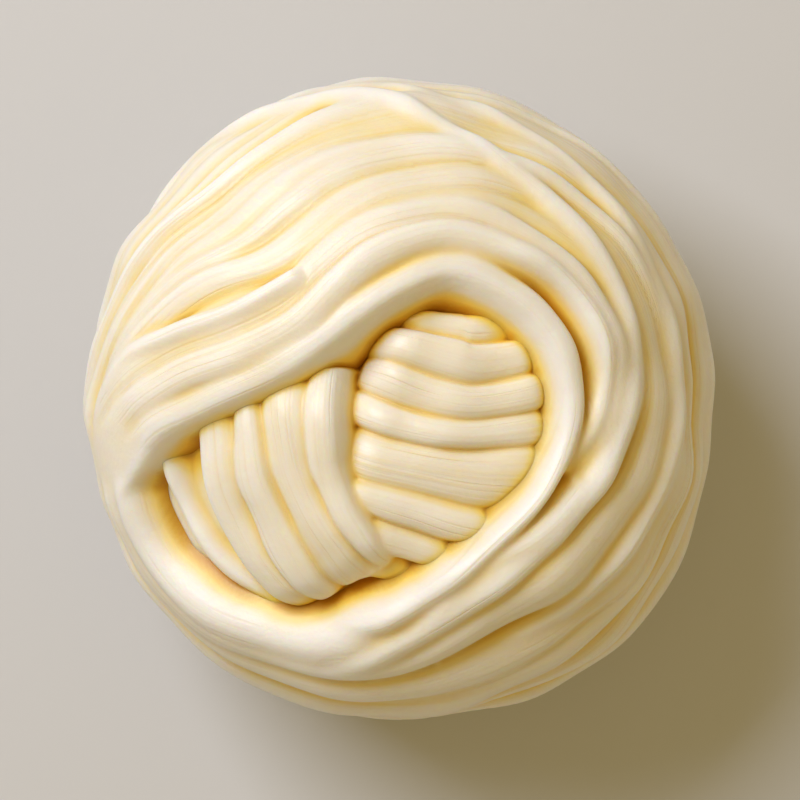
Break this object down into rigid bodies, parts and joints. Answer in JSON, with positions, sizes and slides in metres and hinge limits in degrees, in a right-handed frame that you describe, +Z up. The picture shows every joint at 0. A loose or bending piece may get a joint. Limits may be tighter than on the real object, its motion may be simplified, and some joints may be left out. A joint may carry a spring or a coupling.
{
  "type": "steamed bun",
  "caption": "Round steamed bun wound from thin dough strands like a ball of yarn, open at the crown onto crossed inner strands, with a flat underside to rest on.",
  "frame": {"origin": "middle of the flat underside", "axes": "+Z up through the crown; +X to the right and +Y to the back as the bun is seen from above with its window towards the front left"},
  "size_m": [0.0818, 0.0846, 0.0605],
  "materials": {
    "dough": "soft steamed dough, slightly moist, satin"
  },
  "bodies": {
    "root": {"bun": "dough"}
  },
  "joints": []
}
